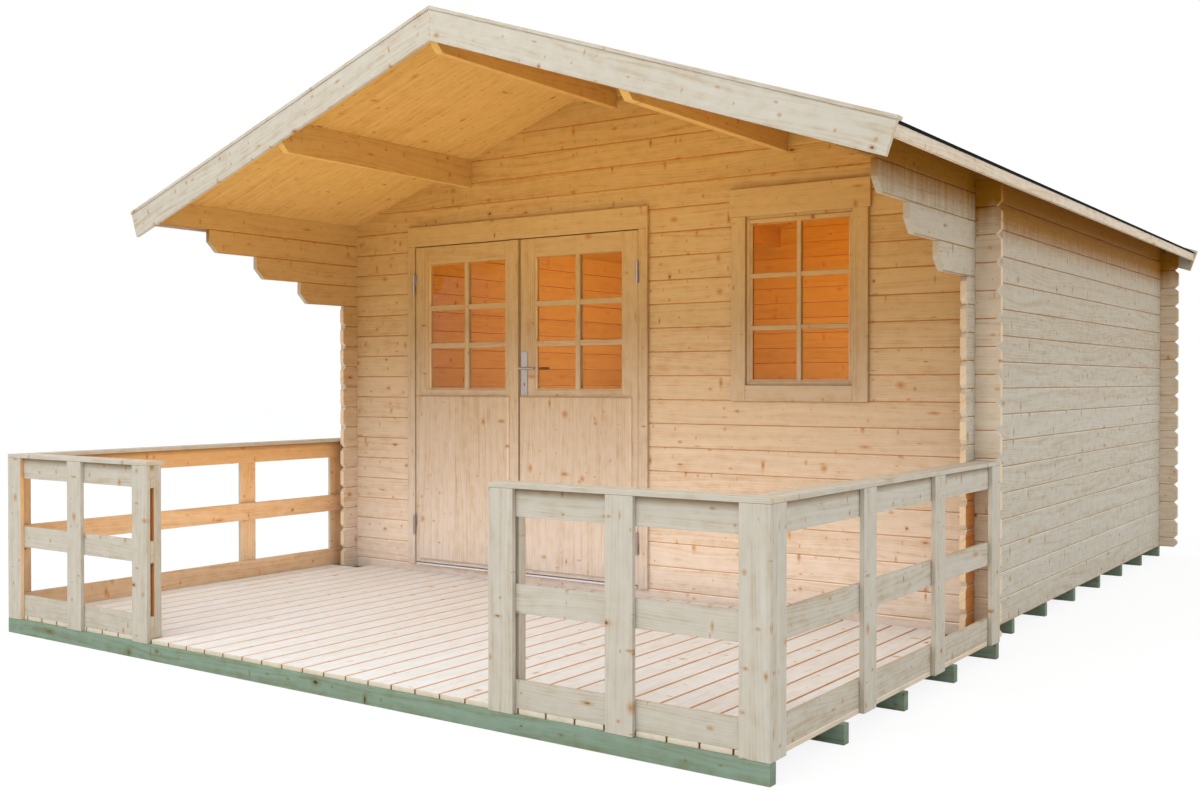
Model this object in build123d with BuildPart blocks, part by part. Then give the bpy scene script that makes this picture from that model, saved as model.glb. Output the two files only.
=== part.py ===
from build123d import *
from math import atan, ceil, cos, sin
import os

# A log cabin with a covered front porch and a railed terrace.
# Millimetres. X runs along the front, Y into the depth, Z up from the ground.

# Plan
cabin_width = 3813
cabin_depth = 3848
terrace_depth = 2135
log_tip = 112

# Logs: the front and rear courses lie half a log higher than the side courses
log_pitch = 121
log_thick = 28
log_groove = 4
tip_chamfer = 22
seam = 0.3
wall_courses = 16
side_courses = 13
bracket_courses = 3
bracket_first = 445
bracket_step = 318
bracket_chamfer = 55

# Base
joist_height = 68
joist_width = 38
cabin_joist_count = 8
cabin_joist_inset = 16
terrace_joist_count = 5
terrace_joist_inset = 12
board_thick = 18

# Roof
eaves_log_height = 111
roof_slope = 0.3426
roof_thick = 18
felt_thick = 3
felt_lip = 12
eaves_overhang = 53.5
fascia_thick = 18
fascia_height = 56
porch_roof_reach = 1379
barge_thick = 18
barge_height = 126
barge_overhang = 18
lath_thick = 15
lath_width = 45
lath_lip = 4
purlin_width = 40
purlin_offset = 985
ridge_purlin_depth = 158
side_purlin_depth = 148
purlin_chamfer = 46

# Doorway and door
door_centre = -609
door_width = 1555
door_sill = 137
door_head = 1971
jamb_thick = 30
jamb_depth = 70
stop_width = 12
casing_thick = 18
door_casing_width = 56
door_casing_head = 114
leaf_thick = 40
leaf_proud = 12
leaf_gap = 5
meeting_gap = 8
stile_width = 99
top_rail = 100
glass_sill = 1143
glass_thick = 4
glass_recess = 16
rebate = 8
panel_low = 161
panel_high = 1110
panel_thick = 12
panel_inset = 36
panel_bevel = 8
strip_width = 60
strip_groove = 8
hinge_radius = 7
hinge_reach = 27
hinge_length = 112
hinge_inset = 215
hinge_plate = 3
hinge_flap = 10
hinge_run = 0.5
plate_width = 40
plate_height = 235
plate_thick = 3
plate_low = 1116
plate_edge = 9
lever_height = 1261
spindle_radius = 4.5
spindle_play = 0.5
lever_radius = 8
lever_length = 112
lever_stand = 42

# Window
window_centre = 1064
window_width = 556
window_sill = 1171
window_head = 1972
window_jamb = 25
window_depth = 60
sash_gap = 1
sash_bar = 18
sash_stop = 10
sash_thick = 34
sash_proud = 4
window_casing_width = 76
window_casing_head = 135
window_casing_over = 11
window_casing_reveal = 15

# Railings
rail_width = 106
rail_height = 96
rail_thick = 18
railing_height = 760
railing_cap = 17
cap_width = 97
gate_half = 946
gate_post_thick = 36
side_post_count = 4

# Derived places
half_width = cabin_width / 2
inner_half = half_width - log_thick
outer_half = half_width + log_tip
total_length = terrace_depth + cabin_depth + log_tip + seam + barge_thick + lath_lip
y_front = -total_length / 2
y_wall = y_front + terrace_depth
y_rear = y_wall + cabin_depth
y_roof_front = y_wall - porch_roof_reach
y_roof_rear = y_rear + log_tip + seam
wall_base = joist_height
floor_top = joist_height + board_thick
front_base = wall_base + log_pitch / 2
eaves_log_low = wall_base + (side_courses + bracket_courses) * log_pitch
gable_base = front_base + wall_courses * log_pitch
ridge_soffit = eaves_log_low + eaves_log_height + roof_slope * half_width
gable_courses = ceil((ridge_soffit - gable_base) / log_pitch)
eaves_half = outer_half + eaves_overhang
barge_half = eaves_half + fascia_thick + barge_overhang
pitch_angle = atan(roof_slope)
roof_rise = roof_thick / cos(pitch_angle)
felt_rise = felt_thick / cos(pitch_angle)


def soffit(run):
    """Height of the underside of the roof boards at a distance from the ridge."""
    return ridge_soffit - roof_slope * abs(run)


def run_at(height):
    """Distance from the ridge where the underside of the roof boards has this height."""
    return (ridge_soffit - seam - height) / roof_slope


def save(context, name):
    """Label a finished piece and write it to its own file."""
    context.part.label = name
    export_step(context.part, "parts/" + name + ".step")


def side_plane(direction, face):
    """Plane of a wall's far face: logs along X are drawn in XZ, logs along Y in YZ."""
    if direction == "x":
        return Plane.XZ.offset(-face - log_thick)
    return Plane.YZ.offset(face)


def log_outline(start, stop, low, high, forms, crossings):
    """Side view of a log, with its end forms and the notches where it crosses other logs."""
    middle = (low + high) / 2
    notch_low = max(low, middle - log_pitch / 4 + seam / 2)
    notch_high = min(high, middle + log_pitch / 4 - seam / 2)
    if high - low < 0.75 * log_pitch:
        notch_low = low
        notch_high = high - log_pitch / 4 - seam / 2
    cut = {"plain": (0, 0), "tip": (tip_chamfer, tip_chamfer), "bracket": (bracket_chamfer, 0)}
    first_low, first_high = cut[forms[0]]
    last_low, last_high = cut[forms[1]]
    points = [(start + first_low, low)]
    for left, right in crossings:
        if notch_low > low:
            points += [(left, low), (left, notch_low), (right, notch_low), (right, low)]
    points.append((stop - last_low, low))
    if last_low:
        points.append((stop, low + last_low))
    if last_high:
        points.append((stop, high - last_high))
    points.append((stop - last_high, high))
    for left, right in reversed(crossings):
        points += [(right, high), (right, notch_high), (left, notch_high), (left, high)]
    points.append((start + first_high, high))
    if first_high:
        points.append((start, high - first_high))
    if first_low:
        points.append((start, low + first_low))
    return points


def log_section(near, low, high):
    """Cross-section of a log, with the chamfers that make the grooves between courses."""
    far = near + log_thick
    return [
        (near + log_groove, low),
        (far - log_groove, low),
        (far, low + log_groove),
        (far, high - log_groove),
        (far - log_groove, high),
        (near + log_groove, high),
        (near, high - log_groove),
        (near, low + log_groove),
    ]


def make_log(direction, face, outline, section):
    """One log: its side view carried through the wall, kept inside its cross-section."""
    along = [point[0] for point in outline]
    length = max(along) - min(along)
    with BuildPart() as log:
        with BuildSketch(side_plane(direction, face)):
            with BuildLine():
                Polyline(*outline, close=True)
            make_face()
        extrude(amount=log_thick)
        section_plane = Plane.YZ.offset(min(along))
        if direction == "y":
            section_plane = Plane.XZ.offset(-max(along))
        with BuildSketch(section_plane):
            with BuildLine():
                Polyline(*section, close=True)
            make_face()
        extrude(amount=length, mode=Mode.INTERSECT)
    return log.part


def courses(direction, face, start, stop, base, numbers, forms, crossings):
    """A stack of like logs, one for each course number."""
    logs = []
    for number in numbers:
        low = base + number * log_pitch + seam / 2
        high = low + log_pitch - seam
        outline = log_outline(start, stop, low, high, forms, crossings)
        logs.append(make_log(direction, face, outline, log_section(face, low, high)))
    return logs


def gable_logs(face):
    """Courses above the eaves, cut to the slope of the roof."""
    logs = []
    for number in range(gable_courses):
        low = gable_base + number * log_pitch + seam / 2
        high = low + log_pitch - seam
        low_run = min(inner_half - seam, run_at(low))
        high_run = run_at(high)
        outline = [(-low_run, low), (low_run, low)]
        if low_run < run_at(low):
            outline.append((low_run, soffit(low_run) - seam))
        if high_run > 0:
            outline += [(high_run, high), (-high_run, high)]
        else:
            outline.append((0, ridge_soffit - seam))
        if low_run < run_at(low):
            outline.append((-low_run, soffit(low_run) - seam))
        logs.append(make_log("x", face, outline, log_section(face, low, high)))
    return logs


# Where the walls cross, with a little play on each side
side_crossings = [
    (y_wall - seam / 2, y_wall + log_thick + seam / 2),
    (y_rear - log_thick - seam / 2, y_rear + seam / 2),
]
left_crossing = (-half_width - seam / 2, -inner_half + seam / 2)
right_crossing = (inner_half - seam / 2, half_width + seam / 2)
full_courses = range(wall_courses)

# Joists under the terrace: the front one is the beam that the railing boards stand on
terrace_joist_step = (terrace_depth - joist_width - terrace_joist_inset) / (terrace_joist_count - 1)
with BuildPart() as terrace_joists:
    for number in range(terrace_joist_count):
        place = y_front + joist_width / 2 + number * terrace_joist_step
        with Locations((0, place, joist_height / 2)):
            Box(2 * outer_half, joist_width, joist_height)
save(terrace_joists, "terrace_joists")

# Joists under the cabin
cabin_joist_step = (cabin_depth - cabin_joist_inset - joist_width) / (cabin_joist_count - 1)
with BuildPart() as cabin_joists:
    for number in range(cabin_joist_count):
        place = y_wall + joist_width / 2 + number * cabin_joist_step
        with Locations((0, place, joist_height / 2)):
            Box(cabin_width, joist_width, joist_height)
save(cabin_joists, "cabin_joists")

# Terrace deck, notched round the ends of the side wall's logs
deck_front = y_front + rail_thick + seam
deck_back = y_wall - seam
deck_half = outer_half - rail_thick - seam
with BuildPart() as deck:
    with BuildSketch(Plane.XY.offset(joist_height)):
        with Locations((0, (deck_front + deck_back) / 2)):
            Rectangle(2 * deck_half, deck_back - deck_front)
        with Locations((-half_width + log_thick / 2, y_wall), (half_width - log_thick / 2, y_wall)):
            Rectangle(log_thick + 2 * seam, 2 * (log_tip + seam), mode=Mode.SUBTRACT)
    extrude(amount=board_thick)
save(deck, "deck")

# Cabin floor between the walls
with BuildPart() as cabin_floor:
    with BuildSketch(Plane.XY.offset(joist_height)):
        with Locations((0, (y_wall + y_rear) / 2)):
            Rectangle(2 * (inner_half - seam), cabin_depth - 2 * (log_thick + seam))
    extrude(amount=board_thick)
save(cabin_floor, "cabin_floor")

# Sill log under the front wall, half a log high
sill_low = wall_base + seam / 2
sill_high = front_base - seam / 2
sill_outline = log_outline(
    -outer_half, outer_half, sill_low, sill_high, ("tip", "tip"), [left_crossing, right_crossing]
)
front_sill_log = make_log("x", y_wall, sill_outline, log_section(y_wall, sill_low, sill_high))
with BuildPart() as front_wall_sill:
    add(front_sill_log)
save(front_wall_sill, "front_wall_sill")

# Front wall beside the doorway
door_left = door_centre - door_width / 2
door_right = door_centre + door_width / 2
door_cut_left = door_left - jamb_thick - seam
door_cut_right = door_right + jamb_thick + seam
door_cut_top = door_head + jamb_thick + seam
beside_courses = range(wall_courses - 1)
left_logs = courses(
    "x", y_wall, -outer_half, door_cut_left, front_base, beside_courses, ("tip", "plain"), [left_crossing]
)
with BuildPart() as front_wall_left:
    add(left_logs)
save(front_wall_left, "front_wall_left")

# Front wall right of the doorway, with the window cut through it
window_left = window_centre - window_width / 2
window_right = window_centre + window_width / 2
window_cut_width = window_width + 2 * (window_jamb + seam)
window_cut_low = window_sill - window_jamb - seam
window_cut_high = window_head + window_jamb + seam
window_cut_middle = (window_cut_low + window_cut_high) / 2
wall_middle = y_wall + log_thick / 2
right_logs = courses(
    "x", y_wall, door_cut_right, outer_half, front_base, beside_courses, ("plain", "tip"), [right_crossing]
)
with BuildPart() as front_wall_right:
    add(right_logs)
    with Locations((window_centre, wall_middle, window_cut_middle)):
        Box(window_cut_width, 2 * log_thick, window_cut_high - window_cut_low, mode=Mode.SUBTRACT)
save(front_wall_right, "front_wall_right")

# Top log of the front wall, over the doorway and the window
top_log = courses(
    "x", y_wall, -outer_half, outer_half, front_base, [wall_courses - 1], ("tip", "tip"),
    [left_crossing, right_crossing],
)
with BuildPart() as front_wall_top:
    add(top_log)
    with Locations((door_centre, wall_middle, door_cut_top / 2)):
        Box(door_cut_right - door_cut_left, 2 * log_thick, door_cut_top, mode=Mode.SUBTRACT)
    with Locations((window_centre, wall_middle, window_cut_middle)):
        Box(window_cut_width, 2 * log_thick, window_cut_high - window_cut_low, mode=Mode.SUBTRACT)
save(front_wall_top, "front_wall_top")

# Rear wall, plain, with its own half log at the bottom
rear_face = y_rear - log_thick
rear_sill_log = make_log("x", rear_face, sill_outline, log_section(rear_face, sill_low, sill_high))
rear_logs = courses(
    "x", rear_face, -outer_half, outer_half, front_base, full_courses, ("tip", "tip"),
    [left_crossing, right_crossing],
)
with BuildPart() as rear_wall:
    add([rear_sill_log] + rear_logs)
save(rear_wall, "rear_wall")

# Gables, with pockets where the purlins pass through
for gable_name, gable_face in (("front_gable", y_wall), ("rear_gable", rear_face)):
    stacked_logs = gable_logs(gable_face)
    with BuildPart() as gable:
        add(stacked_logs)
        pocket_width = purlin_width + 2 * seam
        for offset, depth in (
            (-purlin_offset, side_purlin_depth),
            (0, ridge_purlin_depth),
            (purlin_offset, side_purlin_depth),
        ):
            pocket_low = soffit(offset) - depth - seam
            with Locations((offset, gable_face + log_thick / 2, pocket_low + depth)):
                Box(pocket_width, 2 * log_thick, 2 * depth, mode=Mode.SUBTRACT)
    save(gable, gable_name)

# Side walls: plain courses, then brackets that step out under the porch roof
log_front = y_wall - log_tip
log_back = y_rear + log_tip
for side_name, side_face in (("left", -half_width), ("right", inner_half)):
    plain_logs = courses(
        "y", side_face, log_front, log_back, wall_base, range(side_courses), ("tip", "tip"), side_crossings
    )
    with BuildPart() as side_wall:
        add(plain_logs)
    save(side_wall, side_name + "_wall")

    eaves_logs = []
    for number in range(bracket_courses):
        bracket_front = y_wall - bracket_first - number * bracket_step
        eaves_logs += courses(
            "y", side_face, bracket_front, log_back, wall_base, [side_courses + number],
            ("bracket", "tip"), side_crossings,
        )
    top_low = eaves_log_low + seam / 2
    top_outline = log_outline(
        y_roof_front + seam, y_roof_rear - seam, top_low, ridge_soffit, ("plain", "plain"), []
    )
    near_top = soffit(side_face) - seam
    far_top = soffit(side_face + log_thick) - seam
    top_section = [
        (side_face + log_groove, top_low),
        (side_face + log_thick - log_groove, top_low),
        (side_face + log_thick, top_low + log_groove),
        (side_face + log_thick, far_top),
        (side_face, near_top),
        (side_face, top_low + log_groove),
    ]
    top_side_log = make_log("y", side_face, top_outline, top_section)
    with BuildPart() as eaves_part:
        add(eaves_logs)
        add(top_side_log)
        for crossing_front, crossing_back in side_crossings:
            crossing_middle = (crossing_front + crossing_back) / 2
            notch_height = log_pitch / 4 + seam / 2
            with Locations((side_face + log_thick / 2, crossing_middle, eaves_log_low + notch_height / 2)):
                Box(2 * log_thick, crossing_back - crossing_front, notch_height, mode=Mode.SUBTRACT)
    save(eaves_part, side_name + "_eaves_logs")

# Purlins, with their tops cut to the roof and their lower ends chamfered
purlin_front = y_roof_front + seam
purlin_back = y_roof_rear - seam
purlin_rows = (
    (-purlin_offset, side_purlin_depth),
    (0, ridge_purlin_depth),
    (purlin_offset, side_purlin_depth),
)
purlin_solids = []
for offset, depth in purlin_rows:
    left_edge = offset - purlin_width / 2
    right_edge = offset + purlin_width / 2
    bottom = soffit(offset) - depth
    with BuildPart() as purlin:
        with BuildSketch(Plane.YZ.offset(left_edge)):
            with BuildLine():
                Polyline(
                    (purlin_front + purlin_chamfer, bottom),
                    (purlin_back - purlin_chamfer, bottom),
                    (purlin_back, bottom + purlin_chamfer),
                    (purlin_back, ridge_soffit),
                    (purlin_front, ridge_soffit),
                    (purlin_front, bottom + purlin_chamfer),
                    close=True,
                )
            make_face()
        extrude(amount=purlin_width)
        with BuildSketch(Plane.XZ.offset(-purlin_back)):
            with BuildLine():
                Polyline(
                    (left_edge, bottom),
                    (right_edge, bottom),
                    (right_edge, soffit(right_edge) - seam),
                    (offset, soffit(offset) - seam),
                    (left_edge, soffit(left_edge) - seam),
                    close=True,
                )
            make_face()
        extrude(amount=purlin_back - purlin_front, mode=Mode.INTERSECT)
    purlin_solids.append(purlin.part)
with BuildPart() as purlins:
    add(purlin_solids)
save(purlins, "purlins")

# Roof boards, one slope on each side of the ridge
roof_length = y_roof_rear - y_roof_front
fascia_outer = eaves_half + fascia_thick
for side_name, side in (("left", -1), ("right", 1)):
    with BuildPart() as roof_boards:
        with BuildSketch(Plane.XZ.offset(-y_roof_rear)):
            with BuildLine():
                Polyline(
                    (side * seam / 2, soffit(seam / 2)),
                    (side * eaves_half, soffit(eaves_half)),
                    (side * eaves_half, soffit(eaves_half) + roof_rise),
                    (side * seam / 2, soffit(seam / 2) + roof_rise),
                    close=True,
                )
            make_face()
        extrude(amount=roof_length)
    save(roof_boards, side_name + "_roof_boards")

# Fascia boards along the eaves
fascia_level = soffit(fascia_outer) + roof_rise - fascia_height / 2
fascia_place = eaves_half + fascia_thick / 2
with BuildPart() as eaves_fascias:
    with BuildSketch(Plane.XZ.offset(-y_roof_rear)):
        with Locations((-fascia_place, fascia_level), (fascia_place, fascia_level)):
            Rectangle(fascia_thick, fascia_height)
    extrude(amount=roof_length)
save(eaves_fascias, "eaves_fascias")

# Roofing felt over both slopes, turned down over the fascias
felt_half = fascia_outer + felt_thick
felt_front = y_roof_front - barge_thick - lath_lip + lath_width + seam
felt_back = y_roof_rear + barge_thick + lath_lip - lath_width - seam
felt_under = [
    (-felt_half, soffit(felt_half) + roof_rise + felt_rise - felt_lip),
    (-fascia_outer, soffit(felt_half) + roof_rise + felt_rise - felt_lip),
    (-fascia_outer, soffit(fascia_outer) + roof_rise),
    (0, ridge_soffit + roof_rise),
    (fascia_outer, soffit(fascia_outer) + roof_rise),
    (fascia_outer, soffit(felt_half) + roof_rise + felt_rise - felt_lip),
    (felt_half, soffit(felt_half) + roof_rise + felt_rise - felt_lip),
    (felt_half, soffit(felt_half) + roof_rise + felt_rise),
    (0, ridge_soffit + roof_rise + felt_rise),
    (-felt_half, soffit(felt_half) + roof_rise + felt_rise),
]
with BuildPart() as roof_felt:
    with BuildSketch(Plane.XZ.offset(-felt_back)):
        with BuildLine():
            Polyline(*felt_under, close=True)
        make_face()
    extrude(amount=felt_back - felt_front)
save(roof_felt, "roof_felt")


def barge_outline(side, height):
    """One gable board: plumb at the ridge, square to the slope at its lower end."""
    top = (barge_half, soffit(barge_half) + roof_rise)
    foot = (top[0] - height * sin(pitch_angle), top[1] - height * cos(pitch_angle))
    ridge_top = soffit(seam / 2) + roof_rise
    points = [(seam / 2, ridge_top), top, foot, (seam / 2, ridge_top - height / cos(pitch_angle))]
    return [(side * x, z) for x, z in points]


# Bargeboards on the porch gable and the rear gable
with BuildPart() as bargeboards:
    for board_back in (y_roof_front, y_roof_rear + barge_thick):
        for side in (-1, 1):
            with BuildSketch(Plane.XZ.offset(-board_back)):
                with BuildLine():
                    Polyline(*barge_outline(side, barge_height), close=True)
                make_face()
            extrude(amount=barge_thick)
save(bargeboards, "bargeboards")

# Laths on top of the bargeboards
front_lath_back = y_roof_front - barge_thick - lath_lip + lath_width
rear_lath_back = y_roof_rear + barge_thick + lath_lip
with BuildPart() as barge_laths:
    for lath_back in (front_lath_back, rear_lath_back):
        for side in (-1, 1):
            with BuildSketch(Plane.XZ.offset(-lath_back)):
                with BuildLine():
                    Polyline(*barge_outline(side, -lath_thick), close=True)
                make_face()
            extrude(amount=lath_width)
save(barge_laths, "barge_laths")

# Door frame: two jambs and a head, with a stop behind the leaves
jamb_back = y_wall + jamb_depth
leaf_front = y_wall - leaf_proud
leaf_back = leaf_front + leaf_thick
frame_foot = front_base + seam
with BuildPart() as door_frame:
    with BuildSketch(Plane.XZ.offset(-jamb_back)):
        with Locations((door_centre, (frame_foot + door_head + jamb_thick) / 2)):
            Rectangle(door_width + 2 * jamb_thick, door_head + jamb_thick - frame_foot)
        with Locations((door_centre, door_head / 2)):
            Rectangle(door_width - 2 * stop_width, door_head - 2 * stop_width, mode=Mode.SUBTRACT)
    extrude(amount=jamb_back - leaf_back - leaf_gap)
    with BuildSketch(Plane.XZ.offset(-leaf_back - leaf_gap)):
        with Locations((door_centre, (frame_foot + door_head + jamb_thick) / 2)):
            Rectangle(door_width + 2 * jamb_thick, door_head + jamb_thick - frame_foot)
        with Locations((door_centre, door_head / 2)):
            Rectangle(door_width, door_head, mode=Mode.SUBTRACT)
    extrude(amount=leaf_back + leaf_gap - y_wall)
save(door_frame, "door_frame")

# Threshold strip on the sill log
threshold_front = y_wall - leaf_proud - leaf_gap
with BuildPart() as door_threshold:
    with BuildSketch(Plane.XY.offset(frame_foot)):
        with Locations((door_centre, (threshold_front + jamb_back) / 2)):
            Rectangle(door_width - 2 * stop_width - 2 * seam, jamb_back - threshold_front)
    extrude(amount=door_sill - frame_foot)
save(door_threshold, "door_threshold")

# Door casing: two uprights and a wider board over them
casing_plane = Plane.XZ.offset(-y_wall + seam)
with BuildPart() as door_casing:
    with BuildSketch(casing_plane):
        upright = (frame_foot + door_head) / 2
        reach = (door_width + door_casing_width) / 2
        with Locations((door_centre - reach, upright), (door_centre + reach, upright)):
            Rectangle(door_casing_width, door_head - frame_foot)
        with Locations((door_centre, door_head + seam + door_casing_head / 2)):
            Rectangle(door_width + 2 * door_casing_width, door_casing_head)
    extrude(amount=casing_thick)
save(door_casing, "door_casing")

# Window frame in the wall, with a stop behind the sash
window_middle = (window_sill + window_head) / 2
window_height = window_head - window_sill
window_back = y_wall + window_depth
sash_front = y_wall - sash_proud
sash_back = sash_front + sash_thick
with BuildPart() as window_frame:
    with BuildSketch(Plane.XZ.offset(-window_back)):
        with Locations((window_centre, window_middle)):
            Rectangle(window_width + 2 * window_jamb, window_height + 2 * window_jamb)
            Rectangle(window_width, window_height, mode=Mode.SUBTRACT)
    extrude(amount=window_depth)
    with BuildSketch(Plane.XZ.offset(-window_back)):
        with Locations((window_centre, window_middle)):
            Rectangle(window_width, window_height)
            Rectangle(window_width - 2 * sash_stop, window_height - 2 * sash_stop, mode=Mode.SUBTRACT)
    extrude(amount=window_back - sash_back - seam)
save(window_frame, "window_frame")

# Window casing: uprights, a sill board and a wider head board
with BuildPart() as window_casing:
    with BuildSketch(casing_plane):
        casing_low = window_sill - window_casing_width
        casing_high = window_head + window_casing_reveal
        upright = (casing_low + casing_high) / 2
        reach = (window_width + window_casing_width) / 2
        with Locations((window_centre - reach, upright), (window_centre + reach, upright)):
            Rectangle(window_casing_width, casing_high - casing_low)
        with Locations((window_centre, window_sill - window_casing_width / 2)):
            Rectangle(window_width - 2 * seam, window_casing_width)
        with Locations((window_centre, casing_high + seam + window_casing_head / 2)):
            Rectangle(window_width + 2 * (window_casing_width + window_casing_over), window_casing_head)
    extrude(amount=casing_thick)
save(window_casing, "window_casing")

# Window sash, rebated from behind for its glass
sash_width = window_width - 2 * sash_gap
sash_height = window_height - 2 * sash_gap
pane_front = sash_front + glass_recess
with BuildPart() as window_sash:
    with BuildSketch(Plane.XZ.offset(-sash_back)):
        with Locations((window_centre, window_middle)):
            Rectangle(sash_width, sash_height)
            Rectangle(sash_width - 2 * sash_bar, sash_height - 2 * sash_bar, mode=Mode.SUBTRACT)
    extrude(amount=sash_thick)
    with BuildSketch(Plane.XZ.offset(-sash_back)):
        with Locations((window_centre, window_middle)):
            Rectangle(sash_width - 2 * (sash_bar - rebate), sash_height - 2 * (sash_bar - rebate))
    extrude(amount=sash_back - pane_front, mode=Mode.SUBTRACT)
save(window_sash, "window_sash")

with BuildPart() as window_glass:
    with BuildSketch(Plane.XZ.offset(-pane_front - seam - glass_thick)):
        with Locations((window_centre, window_middle)):
            pane_inset = 2 * (sash_bar - rebate + seam)
            Rectangle(sash_width - pane_inset, sash_height - pane_inset)
    extrude(amount=glass_thick)
save(window_glass, "window_glass")

# Door leaves: each is hung on its jamb and opens outwards over the porch
leaf_low = door_sill + leaf_gap
leaf_high = door_head - leaf_gap
leaf_width = (door_width - 2 * leaf_gap - meeting_gap) / 2
leaf_middle = (leaf_low + leaf_high) / 2
glass_high = leaf_high - top_rail
glass_height = glass_high - glass_sill
glass_middle = (glass_high + glass_sill) / 2
glass_width = leaf_width - 2 * stile_width
leaf_pane_front = leaf_front + glass_recess
plate_middle = plate_low + plate_height / 2
hinge_y = y_wall - hinge_reach
panel_height = panel_high - panel_low
plate_x = door_centre + meeting_gap / 2 + plate_edge + plate_width / 2
for side_name, side in (("left", -1), ("right", 1)):
    leaf_centre = door_centre + side * (meeting_gap + leaf_width) / 2
    with BuildPart() as leaf:
        with BuildSketch(Plane.XZ.offset(-leaf_back)):
            with Locations((leaf_centre, leaf_middle)):
                Rectangle(leaf_width, leaf_high - leaf_low)
            with Locations((leaf_centre, glass_middle)):
                Rectangle(glass_width, glass_height, mode=Mode.SUBTRACT)
            if side == 1:
                with Locations((plate_x, lever_height)):
                    Circle(spindle_radius + spindle_play, mode=Mode.SUBTRACT)
        extrude(amount=leaf_thick)
        with BuildSketch(Plane.XZ.offset(-leaf_back)):
            with Locations((leaf_centre, glass_middle)):
                Rectangle(glass_width + 2 * rebate, glass_height + 2 * rebate)
        extrude(amount=leaf_back - leaf_pane_front, mode=Mode.SUBTRACT)
    save(leaf, side_name + "_leaf")

    with BuildPart() as leaf_glass:
        with BuildSketch(Plane.XZ.offset(-leaf_pane_front - seam - glass_thick)):
            with Locations((leaf_centre, glass_middle)):
                Rectangle(glass_width + 2 * (rebate - seam), glass_height + 2 * (rebate - seam))
        extrude(amount=glass_thick)
    save(leaf_glass, side_name + "_leaf_glass")

    closing_margin = seam
    if side == -1:
        closing_margin = strip_width + strip_groove
    panel_width = leaf_width - panel_inset - closing_margin
    panel_centre = leaf_centre + side * (closing_margin - panel_inset) / 2
    with BuildPart() as leaf_panel:
        with BuildSketch(Plane.XZ.offset(-leaf_front + seam)):
            with Locations((panel_centre, (panel_low + panel_high) / 2)):
                Rectangle(panel_width, panel_height)
        extrude(amount=panel_thick)
        chamfer(leaf_panel.faces().sort_by(Axis.Y)[0].edges(), length=panel_bevel)
        if side == -1:
            with BuildSketch(Plane.XZ.offset(-leaf_front + seam)):
                with Locations((leaf_centre + (leaf_width - strip_width) / 2, leaf_middle)):
                    Rectangle(strip_width, leaf_high - leaf_low)
            extrude(amount=panel_thick)
    save(leaf_panel, side_name + "_leaf_panel")

# Hinges: the lower half of each barrel is on the casing, the upper half on the leaf
hinge_levels = (leaf_low + hinge_inset, leaf_high - hinge_inset)
half_length = hinge_length / 2
flap_y = y_wall - casing_thick - 2 * seam - hinge_plate / 2
left_pin = door_left + leaf_gap / 2
right_pin = door_right - leaf_gap / 2
with BuildPart() as frame_hinges:
    for pin_x, side in ((left_pin, -1), (right_pin, 1)):
        for level in hinge_levels:
            with BuildSketch(Plane.XY.offset(level - half_length)):
                with Locations((pin_x, hinge_y)):
                    Circle(hinge_radius)
                with Locations((pin_x + side * hinge_flap / 2, flap_y)):
                    Rectangle(hinge_flap, hinge_plate)
            extrude(amount=half_length - hinge_run / 2)
save(frame_hinges, "frame_hinges")

for side_name, side, pin_x in (("left", -1, left_pin), ("right", 1, right_pin)):
    with BuildPart() as leaf_hinges:
        for level in hinge_levels:
            arm_start = pin_x - side * leaf_gap / 2
            with BuildSketch(Plane.XY.offset(level + hinge_run / 2)):
                with Locations((pin_x, hinge_y)):
                    Circle(hinge_radius)
                with Locations((arm_start - side * hinge_flap / 2, leaf_front - seam - hinge_plate / 2)):
                    Rectangle(hinge_flap, hinge_plate)
                with Locations((arm_start - side * hinge_plate / 2, (leaf_front - seam + hinge_y) / 2)):
                    Rectangle(hinge_plate, leaf_front - seam - hinge_y)
            extrude(amount=half_length - hinge_run / 2)
    save(leaf_hinges, side_name + "_leaf_hinges")

# Handle plates on both faces of the right leaf
with BuildPart() as handle_plates:
    for back in (leaf_front - seam, leaf_back + seam + plate_thick):
        with BuildSketch(Plane.XZ.offset(-back)):
            with Locations((plate_x, plate_middle)):
                RectangleRounded(plate_width, plate_height, plate_width / 8)
            with Locations((plate_x, lever_height)):
                Circle(spindle_radius + spindle_play, mode=Mode.SUBTRACT)
        extrude(amount=plate_thick)
save(handle_plates, "handle_plates")

# Lever handle: one spindle through the leaf with a grip on each side
lever_front = leaf_front - seam - plate_thick - lever_stand
lever_back = leaf_back + seam + plate_thick + lever_stand
with BuildPart() as lever_handle:
    with BuildSketch(Plane.XZ.offset(-lever_back)):
        with Locations((plate_x, lever_height)):
            Circle(spindle_radius)
    extrude(amount=lever_back - lever_front)
    for grip_y in (lever_front, lever_back):
        with BuildSketch(Plane.YZ.offset(plate_x - lever_radius)):
            with Locations((grip_y, lever_height)):
                Circle(lever_radius)
        extrude(amount=lever_length)
save(lever_handle, "lever_handle")

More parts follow.
